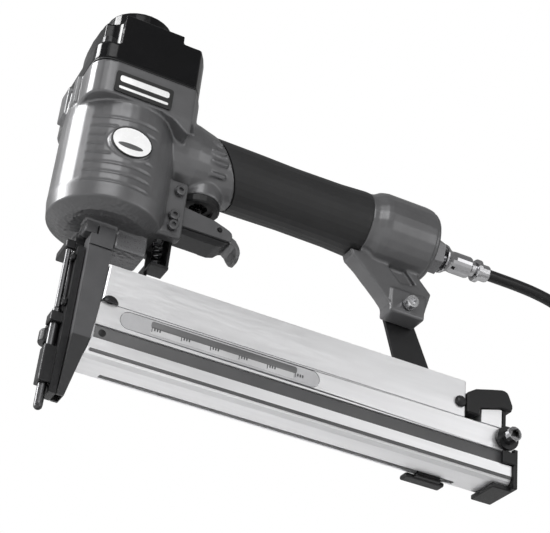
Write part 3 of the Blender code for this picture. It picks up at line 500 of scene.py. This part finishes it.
# Level grooves on the barrel's near side
GROOVES = [0.1450 - 0.0052 * i for i in range(8)]
GROOVE_DEPTH = 0.0007
GROOVE_HALF_WIDTH = 0.0005
GROOVE_ARC = (-46, 24)                # degrees round the barrel from -Y, towards +X
GROOVE_FADES = (5, 8)                 # degrees over which the grooves run out at each end
GROOVE_HEIGHTS = (0.100, 0.150)
GROOVED_SKIN = (0.0270, 0.0292)       # radii that count as the barrel's surface

# The line round the rear bell
BELL_LINE_X = 0.1850
BELL_LINE_REACH = 0.0012
BELL_LINE_DEPTH = 0.0005
BELL_LINE_HALF_WIDTH = 0.0005
BELL_SKIN = (0.0195, 0.0214)

# The rough underside
UNDERSIDE_Z = 0.1000
UNDERSIDE_REAR = 0.045
ROUGH_GRAINS = (900, 2100)
ROUGH_DEPTH = 0.00022

# The barrel's foot as (height, radius): its rounded wall, and the chamfer and rim wanted
WALL = [(0.0960, 0.0180), (0.0966, 0.0215), (0.0986, 0.0255), (0.1020, 0.0278),
        (0.1060, 0.0286), (0.1100, 0.0286)]
CHAMFER = [(0.0960, 0.0180), (0.0966, 0.0213), (0.1006, 0.0275), (0.1010, 0.0277),
           (0.1080, 0.0286), (0.1100, 0.0286)]
WALL_REACH = 0.0011     # how far from the rounded wall a vertex may be
FOOT_REAR = 0.0375      # the foot ends at this X, where the trigger's ears start


def along(profile, height):
    """The radius that a profile of (height, radius) has at a height."""
    for (z0, r0), (z1, r1) in zip(profile, profile[1:]):
        if z0 <= height <= z1:
            return r0 + (r1 - r0) * (height - z0) / (z1 - z0)
    return None


def sharpen_rim(vertex):
    """Turn the rounded foot of the barrel into a chamfer, a rim and a cone."""
    x, y, z = vertex.co
    radius = math.hypot(x - BARREL_X, y)
    wall = along(WALL, z)
    if wall is None or abs(radius - wall) > WALL_REACH or x > FOOT_REAR:
        return
    share = along(CHAMFER, z) / radius
    vertex.co.x = BARREL_X + (x - BARREL_X) * share
    vertex.co.y = y * share


def roughen(vertex):
    """Give the underside its cast skin."""
    coarse, fine = (noise.noise(vertex.co * grain) for grain in ROUGH_GRAINS)
    vertex.co.z += ROUGH_DEPTH * (coarse + 0.5 * fine)


def score_bell(vertex):
    """Sink the line round the bell."""
    x, y, z = vertex.co
    out = math.hypot(y, z - HANDLE_Z)
    if BELL_SKIN[0] < out < BELL_SKIN[1]:
        depth = BELL_LINE_DEPTH * math.exp(-((x - BELL_LINE_X) / BELL_LINE_HALF_WIDTH) ** 2)
        vertex.co.y -= y / out * depth
        vertex.co.z -= (z - HANDLE_Z) / out * depth


def groove_barrel(vertex):
    """Sink the grooves into the barrel's near side, but not into the badge's seat."""
    x, y, z = vertex.co
    dx = x - BARREL_X
    radius = math.hypot(dx, y)
    if not GROOVED_SKIN[0] < radius < GROOVED_SKIN[1]:
        return
    angle = math.degrees(math.atan2(dx, -y))
    if not GROOVE_ARC[0] < angle < GROOVE_ARC[1]:
        return
    if not GROOVE_HEIGHTS[0] < z < GROOVE_HEIGHTS[1]:
        return
    if math.hypot((x - BADGE_PLACE[0]) / BADGE_CLEARANCE[0],
                  (z - BADGE_PLACE[1]) / BADGE_CLEARANCE[1]) < 1.0:
        return
    fade = min(1.0, (angle - GROOVE_ARC[0]) / GROOVE_FADES[0],
               (GROOVE_ARC[1] - angle) / GROOVE_FADES[1])
    near = min(abs(z - groove) for groove in GROOVES)
    depth = GROOVE_DEPTH * fade * math.exp(-(near / GROOVE_HALF_WIDTH) ** 2)
    vertex.co.x -= dx / radius * depth
    vertex.co.y -= y / radius * depth


def housing_relief(vertex):
    """The rim at the barrel's foot, then the relief of the place where the vertex is."""
    sharpen_rim(vertex)
    if vertex.co.z < UNDERSIDE_Z and vertex.co.x < UNDERSIDE_REAR:
        roughen(vertex)
    elif abs(vertex.co.x - BELL_LINE_X) < BELL_LINE_REACH:
        score_bell(vertex)
    else:
        groove_barrel(vertex)


# Blocks (centre, size, lean) that stand proud: two ribs on the head's front, and two blocks
# under the barrel beside the nose.
HOUSING_BLOCKS = [
    ((-0.0135, 0.0080, 0.1665), (0.0040, 0.0120, 0.0168), 0.0),
    ((-0.0130, -0.0060, 0.1665), (0.0030, 0.0060, 0.0168), 0.0),
    ((0.0060, -0.0073, 0.0935), (0.0062, 0.0070, 0.0085), 0.0),
    ((0.0060, 0.0073, 0.0935), (0.0062, 0.0070, 0.0085), 0.0)]

# The short bars on the neck in front of the grip, as (x, height, length)
BARS = [(0.0590, 0.1578, 0.0055), (0.0602, 0.1523, 0.0075), (0.0617, 0.1467, 0.0085),
        (0.0625, 0.1415, 0.0080)]
BAR_DEPTH = 0.0022
BAR_WIDTH = 0.0018
NECK_RADIUS = 0.0180


def neck_bar(x, height, length):
    """A bar that lies along the neck and leans with its round side."""
    lean = math.asin((HANDLE_Z - height) / NECK_RADIUS)
    return ((x, -NECK_RADIUS * math.cos(lean), height), (length, BAR_DEPTH, BAR_WIDTH), -lean)


# Below and behind these, under the barrel, the casting has the plain enamel, without the painted
# shade below the rim
ENAMEL_TOP = 0.0950
ENAMEL_FRONT = 0.0174

# The rest of the housing takes the look with painted shade below the rim of its foot.
housing = moulded("body_casting", "housing", 0.0006, 5,
                  HOUSING_BLOCKS + [neck_bar(*bar) for bar in BARS], HOUSING_PAINTED_SHADE_LOOK, housing_relief)
housing.data.materials.append(LOOKS["casting"])
for face in housing.data.polygons:
    face.material_index = int(face.center.z < ENAMEL_TOP and face.center.x > ENAMEL_FRONT)


# Other pieces --------------------------------------------------------------------------------

# The finger's pad, the lower part of the trigger, is painted darker as shade under the cheeks:
# its top slopes down behind the bend
PAD_TOP = 0.1113
PAD_BEND = 0.060
PAD_SLOPE = 0.012
PAD_REAR = 0.0765

moulded("cylinder_cap", "top_cap", 0.0005, 7)
moulded("exhaust_deflector", "deflector_cap", 0.0004, 4)
finger = moulded("trigger", "finger_trigger", 0.0003, 5)
# Painted shade: the pad's faces below the cheeks take the darker steel.
finger.data.materials.append(LOOKS["dark_steel"])
for face in finger.data.polygons:
    top = PAD_TOP - PAD_SLOPE * max(0.0, face.center.x - PAD_BEND)
    face.material_index = int(face.center.z < top and face.center.x < PAD_REAR)

LATCH_PIVOT = (0.2335, 0.050)   # X and Z of the latch's axis
PIVOT_FACE = -0.0141            # the pivot's bright face is beyond this Y
PIVOT_SOCKET = 0.0023           # radius of the dark socket in it

# Node, name of the piece and width of its rounded edges
for node, name, width in (
        ("driver_guide", "guide_block", 0.0005), ("front_plate", "nose_plate", 0.0004),
        ("safety_yoke", "safety_bracket", 0.0003), ("trigger_lever", "contact_lever", 0.0003),
        ("magazine_rail", "upper_rail", 0.00025), ("magazine_cover", "lower_cover", 0.0003),
        ("end_cap", "rear_plate", 0.0008), ("latch_lever", "latch_head", 0.0010),
        ("latch_post", "latch_block", 0.0006), ("latch_bolt", "latch_pivot", 0.0004),
        ("pusher", "pusher_follower", 0.0006), ("inlet_plug", "hex_plug", 0.0005),
        ("rail_strap", "black_strap", 0.0004), ("strap_bolt", "strap_screw", 0.0004),
        ("strap_nut", "hex_nut", 0.0004), ("grip_sleeve", "rubber_grip", 0.0006),
        ("valve_housing", "valve_cover", 0.0003), ("depth_wheel", "wheel", 0.0003),
        ("label_plate", "label", 0.0003), ("oval_badge", "badge", 0.0003)):
    made = softened(node, name, width, SPECIAL.get(node))
    if node == "latch_bolt":
        made.data.materials.append(LOOKS["chrome"])
        for face in made.data.polygons:
            out = math.hypot(face.center.x - LATCH_PIVOT[0], face.center.z - LATCH_PIVOT[1])
            face.material_index = int(face.center.y < PIVOT_FACE and out > PIVOT_SOCKET)


# Trim on the magazine, the label and the badge, with painted shade on the magazine ------------

FILM = 0.0001             # thickness of printed film
FILM_EDGE = 0.00002
NEAR_WALL = -0.0114       # Y of the cover's near face
BAND_PLACE = 0.0101       # how far the two dark bands' middles are from the plane Y = 0
BAND_THICKNESS = 0.0009
BAND_FACE = -0.0106       # Y of the near band's face
LABEL_FACE = -0.03052     # Y of the label's printed face
RIM_PLACE = -0.02985      # Y of the dark rim round the badge
BADGE_FACE = -0.03018     # Y of the badge's printed face
COVER_REAR = 0.2372       # X where the cover ends
MARKS_FROM = 0.0424       # X of the first tick on the window's scale
MARK_STEP = 0.0147
SMALL_MARK_STEP = 0.0013


def film(name, outline, y, body, slot, material=None):
    """A printed mark: a plate as thin as film."""
    return plate(name, outline, y, FILM, FILM_EDGE, body, slot, material)


for side, y in (("near", -BAND_PLACE), ("far", BAND_PLACE)):
    plate("band_" + side, rounded((0.0162, 0.0367), (COVER_REAR, 0.0433), 0.0008, 4), y,
          BAND_THICKNESS, 0.0002, "magazine", "plastic", DARK_TRIM_AND_SHADE_LOOK)
# Painted shade: a dark strip along the cover's lower near edge, where a groove is.
plate("groove_shade_line", rounded((0.0150, 0.0293), (COVER_REAR, 0.0309), 0.0005, 4), NEAR_WALL, 0.0004,
      0.0001, "magazine", "plastic", DARK_TRIM_AND_SHADE_LOOK)
# Painted shade: a dark disc where the band has a hole.
plate("band_hole", ellipse((0.0198, 0.0400), 0.0018, 0.0018, 32), BAND_FACE, 0.0002, 0.00005,
      "magazine", "plastic")
# Painted shade: a dark film over the window's slot, above the pale scale strip.
film("window_shade", rounded((0.0418, 0.0499), (0.1166, 0.0533), 0.0012), NEAR_WALL,
     "magazine", "scale", WINDOW_SHADE_LOOK)
film("scale_strip", rounded((0.0418, 0.0466), (0.1150, 0.0498), 0.0006), NEAR_WALL,
     "magazine", "scale", STRIP_LOOK)
for i in range(6):
    x = MARKS_FROM + MARK_STEP * i
    film(f"scale_tick_{i + 1}", rounded((x - 0.0002, 0.0478), (x + 0.0002, 0.0502), 0.0001, 3),
         NEAR_WALL - FILM, "magazine", "plastic", DARK_TRIM_AND_SHADE_LOOK)
    for k in range(3):
        start = x + 0.0010 + SMALL_MARK_STEP * k
        film(f"scale_mark_{i + 1}_{k + 1}",
             rounded((start, 0.0486), (start + 0.0007, 0.0501), 0.0002, 3),
             NEAR_WALL - FILM, "magazine", "plastic", DARK_TRIM_AND_SHADE_LOOK)
film("label_stripe_wide", rounded((0.0008, 0.1631), (0.0262, 0.1667), 0.0012), LABEL_FACE,
     "tool", "badge")
film("label_stripe_thin", rounded((0.0008, 0.1590), (0.0262, 0.1605), 0.0006), LABEL_FACE,
     "tool", "badge")
plate("badge_rim", ellipse(BADGE_PLACE, 0.0102, 0.0081), RIM_PLACE, 0.0004, 0.0001,
      "tool", "plastic")
film("badge_stripe", ellipse((0.0119, 0.1288), 0.0062, 0.0014), BADGE_FACE,
     "tool", "plastic", DARK_TRIM_AND_SHADE_LOOK)


# Stage ---------------------------------------------------------------------------------------

FLOOR_HALF = 3
FLOOR_Z = -0.0002

# Name, place, target, size and power in watts
LIGHTS = [
    ("side", (-0.90, 0.34, 0.62), (0.02, 0, 0.13), (0.34, 0.9), 20),
    ("key", (-0.35, -1.1, 0.75), (0.1, 0, 0.12), (0.8, 0.8), 8),
    ("fill", (0.9, -0.9, 0.1), (0.1, 0, 0.1), (0.9, 0.9), 5),
    ("low", (0.0, -0.6, -0.7), (0.1, 0, 0.08), (0.7, 0.5), 2),
    ("under", (0.50, 0.79, -0.50), (0.13, 0, 0.03), (0.5, 0.35), 6)]


def one_sided_floor():
    """A pale floor that is clear from below, where the photograph's camera is."""
    made = bpy.data.materials.new("floor")
    made.use_nodes = True
    nodes, links = made.node_tree.nodes, made.node_tree.links
    shader = nodes["Principled BSDF"]
    shader.inputs["Base Color"].default_value = (0.85, 0.85, 0.85, 1)
    shader.inputs["Roughness"].default_value = 0.7
    clear = nodes.new("ShaderNodeBsdfTransparent")
    side = nodes.new("ShaderNodeNewGeometry")
    mix = nodes.new("ShaderNodeMixShader")
    links.new(side.outputs["Backfacing"], mix.inputs["Fac"])
    links.new(shader.outputs["BSDF"], mix.inputs[1])
    links.new(clear.outputs["BSDF"], mix.inputs[2])
    links.new(mix.outputs["Shader"], nodes["Material Output"].inputs["Surface"])
    mesh = bpy.data.meshes.new("floor")
    corners = [(x * FLOOR_HALF, y * FLOOR_HALF, FLOOR_Z)
               for x, y in ((-1, -1), (1, -1), (1, 1), (-1, 1))]
    mesh.from_pydata(corners, [], [(0, 1, 2, 3)])
    mesh.materials.append(made)
    link("floor", mesh)


def area_light(name, place, target, size, power):
    """A soft rectangular lamp aimed at the target."""
    data = bpy.data.lights.new(name, "AREA")
    data.shape = "RECTANGLE"
    data.size, data.size_y = size
    data.energy = power
    lamp = link(name, data)
    lamp.location = place
    aim = Vector(target) - Vector(place)
    lamp.rotation_euler = aim.to_track_quat("-Z", "Y").to_euler()


def world():
    """A dim surround that is white where the camera sees it."""
    made = bpy.data.worlds.new("studio")
    made.use_nodes = True
    nodes, links = made.node_tree.nodes, made.node_tree.links
    light = nodes["Background"]
    light.inputs["Color"].default_value = (1, 1, 1, 1)
    light.inputs["Strength"].default_value = 0.32
    seen = nodes.new("ShaderNodeBackground")
    seen.inputs["Color"].default_value = (1, 1, 1, 1)
    seen.inputs["Strength"].default_value = 1.0
    path = nodes.new("ShaderNodeLightPath")
    mix = nodes.new("ShaderNodeMixShader")
    links.new(path.outputs["Is Camera Ray"], mix.inputs["Fac"])
    links.new(light.outputs["Background"], mix.inputs[1])
    links.new(seen.outputs["Background"], mix.inputs[2])
    links.new(mix.outputs["Shader"], nodes["World Output"].inputs["Surface"])
    bpy.context.scene.world = made


one_sided_floor()
world()
for light in LIGHTS:
    area_light(*light)
bpy.context.scene.view_settings.view_transform = "Standard"
